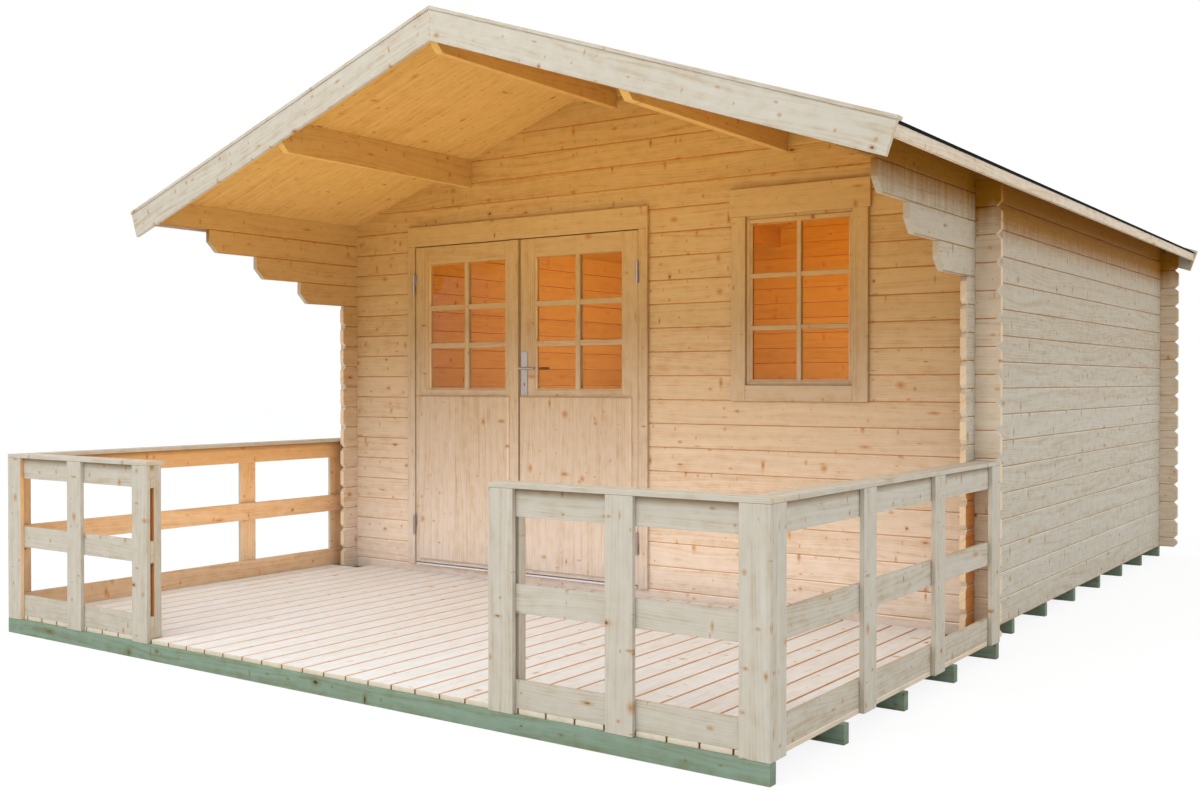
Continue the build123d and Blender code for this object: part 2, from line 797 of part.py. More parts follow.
# Railings: outer boards on the beam's top, three rails behind them, and a cap board
cap_low = floor_top + railing_height - railing_cap
bottom_rail = floor_top + seam + rail_height / 2
top_rail_level = cap_low - seam - rail_height / 2
rail_levels = (bottom_rail, (bottom_rail + top_rail_level) / 2, top_rail_level)
board_height = cap_low - seam - joist_height - seam
board_level = joist_height + seam + board_height / 2
front_board_y = y_front + rail_thick / 2
front_rail_y = y_front + rail_thick * 1.5 + seam
front_board_xs = (gate_half + rail_width / 2, (gate_half + outer_half) / 2, outer_half - rail_width / 2)
rail_end = outer_half - rail_thick - seam
side_start = y_front + rail_thick + seam
side_rail_start = side_start + rail_thick + seam
side_end = y_wall - seam
for side_name, side in (("left", -1), ("right", 1)):
    with BuildPart() as front_railing:
        for x in front_board_xs:
            with Locations((side * x, front_board_y, board_level)):
                Box(rail_width, rail_thick, board_height)
        for level in rail_levels:
            with Locations((side * (gate_half + rail_end) / 2, front_rail_y, level)):
                Box(rail_end - gate_half, rail_thick, rail_height)
        post_y = y_front + 2 * (rail_thick + seam) + gate_post_thick / 2
        post_height = cap_low - floor_top - 2 * seam
        with Locations((side * (gate_half + rail_width / 2), post_y, floor_top + seam + post_height / 2)):
            Box(rail_width, gate_post_thick, post_height)
    save(front_railing, "front_" + side_name + "_railing")

    corner_width = rail_width - rail_thick - seam
    first_board = side_start + corner_width / 2
    last_board = side_end - rail_width / 2
    board_step = (last_board - first_board) / (side_post_count - 1)
    with BuildPart() as side_railing:
        for number in range(side_post_count):
            board_width = rail_width
            if number == 0:
                board_width = corner_width
            place = first_board + number * board_step
            with Locations((side * (outer_half - rail_thick / 2), place, board_level)):
                Box(rail_thick, board_width, board_height)
        for level in rail_levels:
            rail_x = side * (outer_half - 1.5 * rail_thick - seam)
            with Locations((rail_x, (side_rail_start + side_end) / 2, level)):
                Box(rail_thick, side_end - side_rail_start, rail_height)
    save(side_railing, side_name + "_railing")

# Cap boards on the railings
cap_level = cap_low + railing_cap / 2
with BuildPart() as railing_caps:
    for side in (-1, 1):
        with Locations((side * (gate_half + outer_half) / 2, y_front + cap_width / 2, cap_level)):
            Box(outer_half - gate_half, cap_width, railing_cap)
        side_cap_start = y_front + cap_width + seam
        side_cap_middle = (side_cap_start + side_end) / 2
        with Locations((side * (outer_half - cap_width / 2), side_cap_middle, cap_level)):
            Box(cap_width, side_end - side_cap_start, railing_cap)
save(railing_caps, "railing_caps")
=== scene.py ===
import math
import random

import bmesh
import bpy
from mathutils import Matrix, Vector


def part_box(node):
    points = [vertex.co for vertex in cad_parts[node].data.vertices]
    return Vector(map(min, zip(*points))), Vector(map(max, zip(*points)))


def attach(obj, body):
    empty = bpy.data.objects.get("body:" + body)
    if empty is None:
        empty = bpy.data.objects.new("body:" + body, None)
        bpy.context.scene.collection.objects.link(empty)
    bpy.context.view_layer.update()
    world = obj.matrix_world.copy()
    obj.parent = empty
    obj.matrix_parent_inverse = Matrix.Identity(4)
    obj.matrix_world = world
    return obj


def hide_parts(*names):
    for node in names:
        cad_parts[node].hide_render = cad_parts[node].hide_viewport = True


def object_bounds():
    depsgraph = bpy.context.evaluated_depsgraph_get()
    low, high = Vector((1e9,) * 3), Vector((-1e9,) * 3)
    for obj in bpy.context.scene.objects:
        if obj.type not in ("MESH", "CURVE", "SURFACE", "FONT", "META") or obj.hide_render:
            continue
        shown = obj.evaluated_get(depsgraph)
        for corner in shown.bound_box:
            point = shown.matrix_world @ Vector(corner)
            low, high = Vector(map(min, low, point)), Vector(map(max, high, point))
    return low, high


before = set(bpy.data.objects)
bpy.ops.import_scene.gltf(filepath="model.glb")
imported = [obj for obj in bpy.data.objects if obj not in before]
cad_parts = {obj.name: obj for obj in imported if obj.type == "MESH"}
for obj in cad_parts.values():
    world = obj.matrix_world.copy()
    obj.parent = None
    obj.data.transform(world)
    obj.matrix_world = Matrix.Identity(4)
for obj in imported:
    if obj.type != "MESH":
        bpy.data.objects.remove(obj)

cad_low, cad_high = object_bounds()
draw = random.Random(7)

# Places in the shared frame, in metres
WALL_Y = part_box("front_wall_top")[0].y
INNER_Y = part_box("front_wall_top")[1].y
HALF_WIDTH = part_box("right_wall")[1].x
INNER_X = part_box("right_wall")[0].x
REAR_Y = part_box("rear_wall")[1].y
DECK_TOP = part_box("deck")[1].z
DECK_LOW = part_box("deck")[0].z
DECK_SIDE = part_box("deck")[1].x
RIDGE_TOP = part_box("left_roof_boards")[1].z
EAVES_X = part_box("right_roof_boards")[1].x
ROOF_FRONT, ROOF_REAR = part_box("bargeboards")[0].y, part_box("bargeboards")[1].y
CAP_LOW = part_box("railing_caps")[0].z
GATE_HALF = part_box("front_right_railing")[0].x
BOARD = 0.018
ROOF_SLOPE = 0.3426
ROOF_RISE = BOARD * math.sqrt(1 + ROOF_SLOPE * ROOF_SLOPE)
SOFFIT_TOP = RIDGE_TOP - ROOF_RISE


# Materials
def new_material(name):
    material = bpy.data.materials.new(name)
    material.use_nodes = True
    tree = material.node_tree
    tree.nodes.clear()
    return material, tree


class Graph:
    """Short names for the shader nodes that the materials use."""

    def __init__(self, tree):
        self.tree = tree

    def node(self, kind, **values):
        made = self.tree.nodes.new(kind)
        for key, value in values.items():
            setattr(made, key, value)
        return made

    def feed(self, socket, value):
        if isinstance(value, bpy.types.NodeSocket):
            self.tree.links.new(value, socket)
        elif value is not None:
            socket.default_value = value

    def math(self, operation, a, b=None, c=None, clamp=False):
        made = self.node("ShaderNodeMath", operation=operation, use_clamp=clamp)
        for socket, value in zip(made.inputs, (a, b, c)):
            self.feed(socket, value)
        return made.outputs[0]

    def vector(self, operation, a, b=None):
        made = self.node("ShaderNodeVectorMath", operation=operation)
        self.feed(made.inputs[0], a)
        self.feed(made.inputs[1], b)
        return made.outputs["Value"] if operation in ("LENGTH", "DOT_PRODUCT") else made.outputs["Vector"]

    def split(self, value):
        made = self.node("ShaderNodeSeparateXYZ")
        self.feed(made.inputs[0], value)
        return made.outputs

    def join(self, x, y, z):
        made = self.node("ShaderNodeCombineXYZ")
        for socket, value in zip(made.inputs, (x, y, z)):
            self.feed(socket, value)
        return made.outputs[0]

    def noise(self, vector, scale, detail=2.0, rough=0.5, distortion=0.0, kind="3D", w=None):
        made = self.node("ShaderNodeTexNoise", noise_dimensions=kind)
        self.feed(made.inputs["Vector"], vector)
        self.feed(made.inputs["Scale"], scale)
        self.feed(made.inputs["Detail"], detail)
        self.feed(made.inputs["Roughness"], rough)
        self.feed(made.inputs["Distortion"], distortion)
        if w is not None:
            self.feed(made.inputs["W"], w)
        return made.outputs["Fac"]

    def mix(self, factor, a, b, blend="MIX"):
        made = self.node("ShaderNodeMix", data_type="RGBA", blend_type=blend)
        made.clamp_factor = True
        self.feed(made.inputs["Factor"], factor)
        self.feed(made.inputs["A"], a)
        self.feed(made.inputs["B"], b)
        return made.outputs["Result"]

    def ramp(self, value, low, high, out_low=0.0, out_high=1.0):
        made = self.node("ShaderNodeMapRange")
        for name, fed in (("Value", value), ("From Min", low), ("From Max", high), ("To Min", out_low), ("To Max", out_high)):
            self.feed(made.inputs[name], fed)
        return made.outputs["Result"]


def grey(level):
    return (level, level, level, 1.0)


def rgb(r, g, b):
    return (r, g, b, 1.0)


# Boxes in which planed wood glows with light from other wood, each as lowest and highest corner
ROOM_BOX = ((-INNER_X - 0.012, INNER_Y - 0.012, 0.05), (INNER_X + 0.012, REAR_Y - 0.015, 3.0))
WALL_BOX = ((-INNER_X, WALL_Y - 0.13, 0.09), (INNER_X, INNER_Y - 0.012, 1.3))
ROOF_BOX = ((-INNER_X, ROOF_FRONT + 0.012, 1.3), (INNER_X, INNER_Y - 0.012, 3.0))
POST_BACK = cad_low.y + 3 * BOARD


def inside(point, low, high):
    return all(least < value < most for value, least, most in zip(point, low, high))


def railing_light(middle, normal):
    """Whether a face of the railings looks at the porch and gets its painted light, and whether it lies in a slot of
    a gate post and gets painted shade.
    """
    out = abs(middle.x)
    if middle.y > WALL_Y - 0.0005 or not DECK_TOP < middle.z < CAP_LOW:
        return 0.0, 0.0
    if middle.y < POST_BACK + 0.02 and out < HALF_WIDTH:
        in_post = -GATE_HALF - 0.11 < middle.x < 0 and cad_low.y + 0.5 * BOARD < middle.y < POST_BACK - 0.5 * BOARD
        in_slot = abs(normal.y) > 0.9 and in_post
        corner = out > HALF_WIDTH - 0.2 and normal.x * middle.x < -0.5
        return float(normal.y > 0.9 and not in_slot or corner), float(in_slot)
    looks_in = normal.x * middle.x < -0.5
    return float(out > HALF_WIDTH and looks_in), 0.0


def light_of(middle, normal):
    """The light a face stands in: weights for porch, room, railing, slot, eaves, cap and tip."""
    point = middle + 0.02 * normal
    room = float(inside(point, *ROOM_BOX))
    porch = float(inside(point, *WALL_BOX) or inside(point, *ROOF_BOX) and middle.y > ROOF_FRONT + BOARD + 0.001)
    railing, slot = railing_light(middle, normal)
    out = abs(middle.x)
    side_on = normal.x * middle.x > 0.5
    # The sides of the deck boards inside the deck get the painted shade of the gaps.
    if DECK_LOW < middle.z < DECK_TOP and abs(normal.x) > 0.3 and out < DECK_SIDE - 0.004:
        slot = 1.0
    # Log tips standing past the walls and the deck's outer edges get painted light: a lighter colour than the walls.
    beside_door = WALL_Y - 0.13 < middle.y < WALL_Y and out < HALF_WIDTH + 0.001
    log_end = out > INNER_X and abs(normal.y) > 0.5 and beside_door
    log_tip = middle.z > DECK_TOP and (out > HALF_WIDTH + 0.001 and middle.y > WALL_Y - 0.001 or log_end)
    deck_edge = DECK_LOW < middle.z < DECK_TOP and side_on and out > DECK_SIDE - 0.004
    tip = float(log_tip or deck_edge)
    # Side faces level with the walls' outer face, in front of the front wall and below the cap, also get the painted
    # shade of the slots.
    if side_on and abs(out - HALF_WIDTH) < 0.001 and middle.y < WALL_Y and middle.z < CAP_LOW:
        slot = 1.0
    # Faces under the roof overhang, outside the porch and room, get the painted shade of the eaves.
    behind_barge = ROOF_FRONT - 0.0005 < middle.y < ROOF_REAR - 0.0175
    eaves = float(out > INNER_X + 0.001 and out < EAVES_X - 0.002 and behind_barge and not porch and not room)
    # Front and outer rails just below the cap get its painted shadow line.
    rail_front = middle.y < cad_low.y + 2.5 * BOARD or out > HALF_WIDTH + 0.05
    cap = float(middle.z < CAP_LOW and middle.z > CAP_LOW - 0.15 and rail_front and middle.y < WALL_Y - 0.03)
    return (porch, room, railing), (slot, eaves, cap), tip


def board_place(g):
    """The surface's place along, across and through its board, and the board's random number."""
    place = g.node("ShaderNodeAttribute", attribute_name="grain").outputs["Vector"]
    tone = g.node("ShaderNodeAttribute", attribute_name="tone").outputs["Fac"]
    along, across, through = g.split(place)
    return along, across, through, tone


def knot_layer(g, along, across, tone, cell_length, cell_width, small, large, share, offset):
    """Knots scattered over the boards: core, halo and the darkness of each, and how far they push the rings."""
    flat = g.join(
        g.math("ADD", g.math("DIVIDE", along, cell_length), g.math("MULTIPLY", tone, 41.0 + offset)),
        g.math("ADD", g.math("DIVIDE", across, cell_width), g.math("MULTIPLY", tone, 17.0 + offset)),
        0.0,
    )
    cells = g.node("ShaderNodeTexVoronoi", voronoi_dimensions="2D", feature="F1")
    g.feed(cells.inputs["Vector"], flat)
    cells.inputs["Scale"].default_value = 1.0
    cells.inputs["Randomness"].default_value = 0.9
    chance = g.split(cells.outputs["Color"])
    away = g.vector("MULTIPLY", g.vector("SUBTRACT", flat, cells.outputs["Position"]), (cell_length, cell_width, 0.0))
    away_along, away_across, _ = g.split(away)
    stretch = g.ramp(chance[2], 0.0, 1.0, 0.5, 1.9)
    ragged = g.math("SUBTRACT", g.noise(flat, 26.0, 1.0, 0.6, kind="2D"), 0.5)
    away = g.join(
        g.math("ADD", g.math("MULTIPLY", away_along, stretch), g.math("MULTIPLY", ragged, 0.006)),
        g.math("ADD", g.math("DIVIDE", away_across, stretch), g.math("MULTIPLY", ragged, 0.005)),
        0.0,
    )
    size = g.ramp(chance[0], 0.0, 1.0, small, large)
    reach = g.math("DIVIDE", g.vector("LENGTH", away), size)
    present = g.math("LESS_THAN", chance[1], share)
    core = g.math("MULTIPLY", g.ramp(reach, 1.1, 0.55), present)
    halo = g.math("MULTIPLY", g.ramp(reach, 3.0, 0.7), present)
    dark = g.ramp(g.math("FRACT", g.math("MULTIPLY", chance[1], 37.0)), 0.45, 0.95)
    push = g.math("MULTIPLY", halo, g.math("MULTIPLY", away_across, 0.8))
    return core, halo, dark, push


def growth(g, along, across, through, tone, push):
    """Light and dark wood of the year rings where the board cuts them, 0 to 1."""
    slow = g.join(g.math("ADD", g.math("MULTIPLY", along, 0.9), g.math("MULTIPLY", tone, 41.0)), g.math("MULTIPLY", across, 5.0), 0.0)
    wander = g.math("MULTIPLY", g.math("SUBTRACT", g.noise(slow, 1.0, 1.0, kind="2D"), 0.5), 0.11)
    moved = g.math("ADD", g.math("SUBTRACT", across, push), wander)
    centre = g.math("MULTIPLY", g.math("SUBTRACT", tone, 0.5), 0.14)
    depth = g.math("ADD", through, g.ramp(g.math("FRACT", g.math("MULTIPLY", tone, 7.0)), 0.0, 1.0, 0.03, 0.13))
    sideways = g.math("SUBTRACT", moved, centre)
    squares = g.math("ADD", g.math("MULTIPLY", sideways, sideways), g.math("MULTIPLY", depth, depth))
    radius = g.math("SQRT", squares)
    uneven = g.noise(g.join(g.math("MULTIPLY", radius, 40.0), tone, 0.0), 1.0, 1.0, kind="2D")
    phase = g.math("ADD", g.math("MULTIPLY", radius, 760.0), g.math("MULTIPLY", uneven, 9.0))
    return g.ramp(g.math("SINE", phase), -0.4, 1.0), moved


def glow_zones(g, colors, along):
    """The wood's colour with light and shade painted into it, by where the surface lies: outside, on the porch, in
    the room or under the eaves.
    """
    height = g.split(g.node("ShaderNodeTexCoord").outputs["Object"])[2]
    porch, room, railing = g.split(g.node("ShaderNodeAttribute", attribute_name="light").outputs["Vector"])
    slot, eaves, cap = g.split(g.node("ShaderNodeAttribute", attribute_name="shade_weights").outputs["Vector"])
    tip = g.node("ShaderNodeAttribute", attribute_name="tip").outputs["Fac"]
    under = g.node("ShaderNodeAttribute", attribute_name="under").outputs["Fac"]
    # Painted shade under the eaves: a streaky lower edge for the dark band just below the soffit (close), and a
    # wider, fainter darkening further down (wide).
    streaky_noise = g.node("ShaderNodeTexNoise", noise_dimensions="1D")
    g.feed(streaky_noise.inputs["W"], g.math("MULTIPLY", along, 26.0))
    streaky_noise.inputs["Scale"].default_value = 1.0
    ragged = g.math("ADD", under, g.math("MULTIPLY", streaky_noise.outputs["Fac"], 0.08))
    close = g.math("MULTIPLY", g.ramp(ragged, 0.345, 0.215), eaves)
    wide = g.math("MULTIPLY", g.ramp(under, 1.3, 0.25), eaves)
    # Painted light on the tips and deck edges, then the painted shade under the eaves over it.
    base = g.mix(tip, colors["outside"], colors["tip"])
    base = g.mix(wide, base, tinted(g, base, rgb(0.86, 0.79, 0.70)))
    base = g.mix(close, base, colors["eaves"])
    # Painted light and shade in the porch from light bounced among the wood: pale at the foot, deep orange under the
    # roof.
    low = g.mix(g.ramp(height, 0.1, 0.95), colors["porch_foot"], colors["porch_low"])
    middle = g.mix(g.ramp(height, 0.95, 1.5), low, colors["porch_middle"])
    high = g.mix(g.ramp(height, 1.5, 2.3), middle, colors["porch_high"])
    base = g.mix(porch, base, high)
    # Painted light on the railing faces that look into the porch, warmer towards the top.
    rail = g.mix(g.ramp(height, 0.30, 0.78), colors["rail_low"], colors["rail_high"])
    base = g.mix(railing, base, rail)
    # Painted shade in the slots of the gate posts and the gaps of the deck.
    base = g.mix(slot, base, colors["slot"])
    # Painted shadow line on the rails just under the cap.
    near_cap = g.math("MULTIPLY", g.ramp(height, CAP_LOW - 0.030, CAP_LOW - 0.006), cap)
    base = g.mix(g.math("MULTIPLY", near_cap, 0.75), base, tinted(g, base, rgb(0.42, 0.28, 0.12)))
    # Painted light of the room behind the glass, deeper orange towards the roof.
    return g.mix(room, base, g.mix(g.ramp(height, 1.1, 2.4), colors["room_low"], colors["room_high"]))


def laid_noise(g, along, across, shift, per_metre_along, per_metre_across, detail):
    """Noise stretched along the board, different on each board."""
    place = g.join(
        g.math("ADD", g.math("MULTIPLY", along, per_metre_along), shift),
        g.math("ADD", g.math("MULTIPLY", across, per_metre_across), shift),
        0.0,
    )
    return g.noise(place, 1.0, detail, 0.6, kind="2D")


def tinted(g, base, color):
    return g.mix(1.0, base, color, "MULTIPLY")


SPRUCE_KNOTS = ((0.42, 0.18, 0.045), (0.10, 0.042, 0.018))
TREATED_KNOTS = ((0.04, 0.075, 0.05), (0.010, 0.025, 0.018))


def wood(name, colors, knots=1.0, contrast=1.0, rough=0.62, knot_colors=SPRUCE_KNOTS, knot_size=1.0):
    """Planed spruce with year rings, fibre, knots and a drift of tone, laid along each board."""
    material, tree = new_material(name)
    g = Graph(tree)
    along, across, through, tone = board_place(g)
    small, large = 0.0035 * knot_size, 0.0095 * knot_size
    core, halo, dark, push = knot_layer(g, along, across, tone, 0.30, 0.085, small, large, 0.42 * knots, 0.0)
    specks, smears, faint, _ = knot_layer(g, along, across, tone, 0.13, 0.045, 0.0016, 0.0048, 0.33 * knots, 5.3)
    rings, moved = growth(g, along, across, through, tone, push)
    shift = g.math("MULTIPLY", tone, 41.0)
    section = g.math("ADD", moved, g.math("MULTIPLY", through, 0.83))
    straight = g.math("ADD", across, g.math("MULTIPLY", through, 0.83))
    fibre = laid_noise(g, along, straight, shift, 6.0, 300.0, 2.0)
    streak = laid_noise(g, along, section, shift, 1.6, 34.0, 2.0)
    cloud = laid_noise(g, along, g.math("ADD", across, through), shift, 13.0, 24.0, 2.0)

    base = glow_zones(g, colors, along)
    shade = g.math("MULTIPLY", g.math("SUBTRACT", rings, 0.45), 0.30 * contrast)
    shade = g.math("ADD", shade, g.math("MULTIPLY", g.math("SUBTRACT", fibre, 0.5), 0.92 * contrast))
    shade = g.math("ADD", shade, g.math("MULTIPLY", g.math("SUBTRACT", streak, 0.5), 1.10 * contrast))
    shade = g.math("ADD", shade, g.math("MULTIPLY", g.math("SUBTRACT", cloud, 0.5), 1.15 * contrast))
    shade = g.math("ADD", shade, g.math("MULTIPLY", g.math("SUBTRACT", tone, 0.5), 0.30 * contrast))
    color = g.mix(shade, base, tinted(g, base, rgb(0.78, 0.62, 0.42)))
    color = g.mix(g.math("MULTIPLY", shade, -1.0), color, tinted(g, base, rgb(1.12, 1.16, 1.24)))
    amber = tinted(g, base, rgb(0.80, 0.48, 0.20))
    color = g.mix(g.math("MULTIPLY", g.math("MAXIMUM", halo, smears), 0.72), color, amber)
    knot = g.mix(dark, rgb(*knot_colors[0]), rgb(*knot_colors[1]))
    color = g.mix(g.math("MULTIPLY", core, g.ramp(dark, 0.0, 1.0, 0.45, 0.92)), color, knot)
    color = g.mix(g.math("MULTIPLY", specks, g.ramp(faint, 0.5, 1.0, 0.05, 0.6)), color, knot)
    color = g.mix(g.node("ShaderNodeAttribute", attribute_name="endgrain").outputs["Fac"], color, tinted(g, color, colors["end"]))
    # Painted shade on the chamfers that face down under the log above, and a painted highlight on the chamfers that
    # face up.
    chamfer_shading = g.node("ShaderNodeAttribute", attribute_name="chamfer_shading").outputs["Fac"]
    color = g.mix(chamfer_shading, color, tinted(g, color, rgb(0.80, 0.56, 0.34)))
    color = g.mix(g.math("MULTIPLY", chamfer_shading, -1.0), color, tinted(g, color, rgb(1.4, 1.4, 1.4)))

    shader = g.node("ShaderNodeBsdfPrincipled")
    g.feed(shader.inputs["Base Color"], color)
    g.feed(shader.inputs["Roughness"], g.ramp(fibre, 0.3, 0.7, rough - 0.06, rough + 0.08))
    shader.inputs["Specular IOR Level"].default_value = 0.22
    bump = g.node("ShaderNodeBump")
    bump.inputs["Strength"].default_value = 0.22
    bump.inputs["Distance"].default_value = 0.0012
    g.feed(bump.inputs["Height"], fibre)
    g.feed(shader.inputs["Normal"], bump.outputs[0])
    out = g.node("ShaderNodeOutputMaterial")
    g.feed(out.inputs["Surface"], shader.outputs[0])
    return material


# Colours of the wood outside, and the light and shade painted into it: lighter tips, painted shade under the eaves,
# painted light in the porch, on the railings and in the room, and painted shade in the slots; end is the tint of the
# end grain.
WOOD = {
    "outside": rgb(0.568, 0.516, 0.42),
    "tip": rgb(0.72, 0.60, 0.455),
    "eaves": rgb(0.32, 0.132, 0.002),
    "rail_low": rgb(0.84, 0.58, 0.36),
    "rail_high": rgb(0.80, 0.46, 0.20),
    "slot": rgb(0.80, 0.36, 0.11),
    "porch_foot": rgb(0.74, 0.62, 0.53),
    "porch_low": rgb(0.60, 0.44, 0.29),
    "porch_middle": rgb(0.55, 0.335, 0.135),
    "porch_high": rgb(0.78, 0.44, 0.115),
    "room_low": rgb(0.58, 0.28, 0.075),
    "room_high": rgb(0.72, 0.29, 0.014),
    "end": rgb(1.1, 1.02, 0.90),
}
# Door and window joinery: the same wood with darker painted light low in the porch.
JOINERY = dict(
    WOOD,
    porch_foot=rgb(0.64, 0.55, 0.49),
    porch_low=rgb(0.53, 0.40, 0.28),
    porch_middle=rgb(0.475, 0.295, 0.125),
)
# Deck boards: paler wood, with their own painted shade in the gaps between the boards and their own end-grain tint.
DECK = dict(WOOD, outside=rgb(0.86, 0.87, 0.86), slot=rgb(0.60, 0.36, 0.19), end=rgb(0.95, 0.82, 0.66))
GREEN = {key: rgb(0.235, 0.315, 0.228) for key in WOOD}
GREEN["end"] = rgb(0.85, 0.85, 0.85)
spruce = wood("spruce", WOOD)
clear_spruce = wood("spruce_clear", JOINERY, knots=0.45)
deck_spruce = wood("spruce_deck", DECK, knots=0.35, contrast=0.55)
treated = wood("treated", GREEN, 1.3, 1.3, 0.7, TREATED_KNOTS, 1.8)


def metal(name, color, rough, metallic=1.0):
    material, tree = new_material(name)
    g = Graph(tree)
    spot = g.node("ShaderNodeTexCoord").outputs["Object"]
    streaky_noise = g.noise(g.vector("MULTIPLY", spot, (900.0, 900.0, 40.0)), 1.0, 2.0)
    shader = g.node("ShaderNodeBsdfPrincipled")
    g.feed(shader.inputs["Base Color"], g.mix(g.ramp(streaky_noise, 0.3, 0.7, 0.0, 0.25), color, grey(0.35)))
    shader.inputs["Metallic"].default_value = metallic
    g.feed(shader.inputs["Roughness"], g.ramp(streaky_noise, 0.3, 0.7, rough - 0.05, rough + 0.08))
    out = g.node("ShaderNodeOutputMaterial")
    g.feed(out.inputs["Surface"], shader.outputs[0])
    return material


steel = metal("steel", rgb(0.52, 0.46, 0.43), 0.42)
dark_steel = metal("steel_dark", rgb(0.03, 0.028, 0.028), 0.5)
aluminium = metal("aluminium", rgb(0.86, 0.83, 0.92), 0.5, 0.1)

felt, felt_tree = new_material("felt")
g = Graph(felt_tree)
spot = g.node("ShaderNodeTexCoord").outputs["Object"]
grit = g.noise(spot, 420.0, 2.0, 0.7)
patch = g.noise(spot, 2.2, 3.0)
level = g.math("ADD", g.ramp(grit, 0.35, 0.65, 0.0, 0.75), g.math("MULTIPLY", patch, 0.25))
felt_color = g.mix(level, rgb(0.003, 0.003, 0.0035), rgb(0.022, 0.022, 0.024))
shader = g.node("ShaderNodeBsdfPrincipled")
g.feed(shader.inputs["Base Color"], felt_color)
shader.inputs["Roughness"].default_value = 0.9
shader.inputs["Specular IOR Level"].default_value = 0.02
bump = g.node("ShaderNodeBump")
bump.inputs["Strength"].default_value = 0.4
bump.inputs["Distance"].default_value = 0.001
g.feed(bump.inputs["Height"], grit)
g.feed(shader.inputs["Normal"], bump.outputs[0])
g.feed(g.node("ShaderNodeOutputMaterial").inputs["Surface"], shader.outputs[0])

glass, glass_tree = new_material("glass")
g = Graph(glass_tree)
clear = g.node("ShaderNodeBsdfTransparent")
clear.inputs["Color"].default_value = rgb(0.95, 0.97, 0.96)
gloss = g.node("ShaderNodeBsdfGlossy")
gloss.inputs["Roughness"].default_value = 0.02
fresnel = g.node("ShaderNodeFresnel")
fresnel.inputs["IOR"].default_value = 1.45
both = g.node("ShaderNodeMixShader")
g.feed(both.inputs[0], g.math("MULTIPLY", fresnel.outputs[0], 0.12))
g.feed(both.inputs[1], clear.outputs[0])
g.feed(both.inputs[2], gloss.outputs[0])
g.feed(g.node("ShaderNodeOutputMaterial").inputs["Surface"], both.outputs[0])


# Boards
def finish_mesh(name, mesh_bm, material, body, replaced, bevel=0.0016):
    """Turns a bmesh into a piece: loose boards with grain, soft arrises and a material."""
    mesh = bpy.data.meshes.new(name)
    grain_frames(mesh_bm, mesh)
    mesh.shade_smooth()
    mesh.set_sharp_from_angle(angle=math.radians(32))
    piece = bpy.data.objects.new(name, mesh)
    bpy.context.scene.collection.objects.link(piece)
    mesh.materials.append(material)
    if bevel:
        soften = piece.modifiers.new("arris", "BEVEL")
        soften.width = bevel
        soften.segments = 2
        soften.limit_method = "ANGLE"
        soften.angle_limit = math.radians(30)
        soften.harden_normals = False
    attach(piece, body)
    if replaced:
        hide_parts(*replaced)
    return piece


def grain_frames(bm, mesh):
    """Writes each loose board's own coordinates, one random tone, its end grain, the painted shade and highlight of
    its chamfers, and the painted light and shade its faces stand in.
    """
    bm.verts.index_update()
    bm.edges.index_update()
    bm.faces.index_update()
    bm.normal_update()
    bm.verts.ensure_lookup_table()
    grain = bm.verts.layers.float_vector.new("grain")
    tone = bm.verts.layers.float.new("tone")
    endgrain = bm.faces.layers.float.new("endgrain")
    chamfer_shading = bm.faces.layers.float.new("chamfer_shading")
    under = bm.verts.layers.float.new("under")
    light = bm.faces.layers.float_vector.new("light")
    # Weights of the painted shade in slots, under the eaves and under the railing cap.
    shade_weights = bm.faces.layers.float_vector.new("shade_weights")
    tip = bm.faces.layers.float.new("tip")
    seen = set()
    for start in bm.verts:
        if start.index in seen:
            continue
        group, stack = [], [start]
        seen.add(start.index)
        while stack:
            vert = stack.pop()
            group.append(vert)
            for edge in vert.link_edges:
                other = edge.other_vert(vert)
                if other.index not in seen:
                    seen.add(other.index)
                    stack.append(other)
        edges = {edge for vert in group for edge in vert.link_edges}
        longest = max(edges, key=lambda edge: (round(edge.calc_length(), 5), edge.index))
        direction = (longest.verts[1].co - longest.verts[0].co).normalized()
        faces = {face for vert in group for face in vert.link_faces}
        broad = max(faces, key=lambda face: (round(face.calc_area(), 6), face.index))
        depth = broad.normal.copy()
        depth = (depth - direction * depth.dot(direction)).normalized()
        across = depth.cross(direction)
        value = draw.random()
        middle = sum((vert.co for vert in group), Vector()) / len(group)
        for vert in group:
            offset = vert.co - middle
            vert[grain] = (vert.co.dot(direction), offset.dot(across), offset.dot(depth))
            vert[tone] = value
            # How far below the soffit each point lies, for the painted shade under the eaves; what stands out past
            # the walls counts as lower, so less of it is painted dark.
            sheltered = SOFFIT_TOP - ROOF_SLOPE * abs(vert.co.x) - vert.co.z
            stands_out = abs(vert.co.x) > HALF_WIDTH + 0.001 or vert.co.y < WALL_Y
            vert[under] = sheltered + (0.07 if stands_out else 0.0)
        for face in faces:
            face[endgrain] = 1.0 if abs(face.normal.dot(direction)) > 0.9 else 0.0
            # Chamfers along the board: 1 where they face down (painted shade), -1 where they face up (painted
            # highlight).
            bevelled = abs(face.normal.dot(direction)) < 0.2 and 0.2 < abs(face.normal.dot(depth)) < 0.95
            face[chamfer_shading] = -math.copysign(1.0, face.normal.z) if bevelled else 0.0
            face[light], face[shade_weights], face[tip] = light_of(face.calc_center_median(), face.normal)
    bm.to_mesh(mesh)
    bm.free()


def copied(*nodes):
    """The CAD nodes' solids as one clean bmesh with whole faces."""
    bm = bmesh.new()
    for node in nodes:
        bm.from_mesh(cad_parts[node].data)
    bmesh.ops.remove_doubles(bm, verts=bm.verts, dist=0.00002)
    bmesh.ops.dissolve_limit(bm, angle_limit=math.radians(1), verts=bm.verts, edges=bm.edges)
    bmesh.ops.recalc_face_normals(bm, faces=bm.faces)
    return bm


